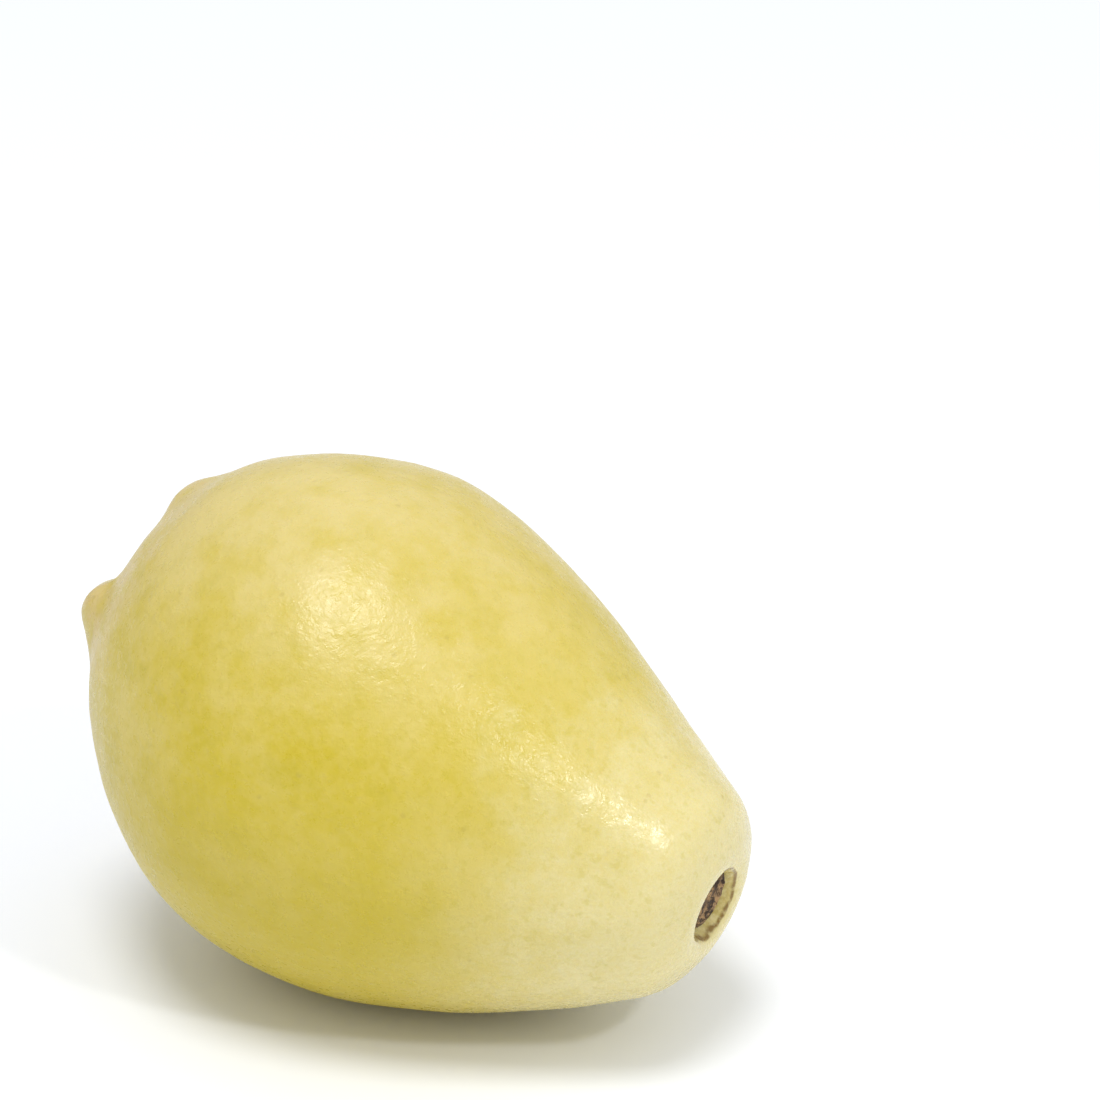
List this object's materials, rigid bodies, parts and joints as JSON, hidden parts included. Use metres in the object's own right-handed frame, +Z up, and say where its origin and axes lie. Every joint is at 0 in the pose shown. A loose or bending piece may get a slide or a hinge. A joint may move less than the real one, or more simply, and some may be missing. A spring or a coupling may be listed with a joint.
{
  "type": "guava",
  "caption": "Pear-shaped pale yellow guava lying on its side, with a stem pit, a knobbed crown and dried sepals.",
  "frame": {"origin": "centre of the fruit's bounding box at its lowest height, on the surface it rests on", "axes": "+X from the blossom end to the stem end, +Z up as the fruit lies on its side, +Y to the far side of the fruit"},
  "size_m": [0.0884, 0.0652, 0.0656],
  "materials": {
    "guava_skin": "mottled pale yellow fruit skin with a thin waxy sheen and fine soft dimples",
    "dry_stalk": "rough dry woody scar, dark brown with paler fibres",
    "dry_sepal": "papery dried brown sepal, wrinkled and matte"
  },
  "bodies": {
    "root": {"fruit": "guava_skin", "stem_scar": "dry_stalk", "dried_style": "dry_sepal", "sepal_1": "dry_sepal", "sepal_2": "dry_sepal", "sepal_3": "dry_sepal", "sepal_4": "dry_sepal"}
  },
  "joints": []
}
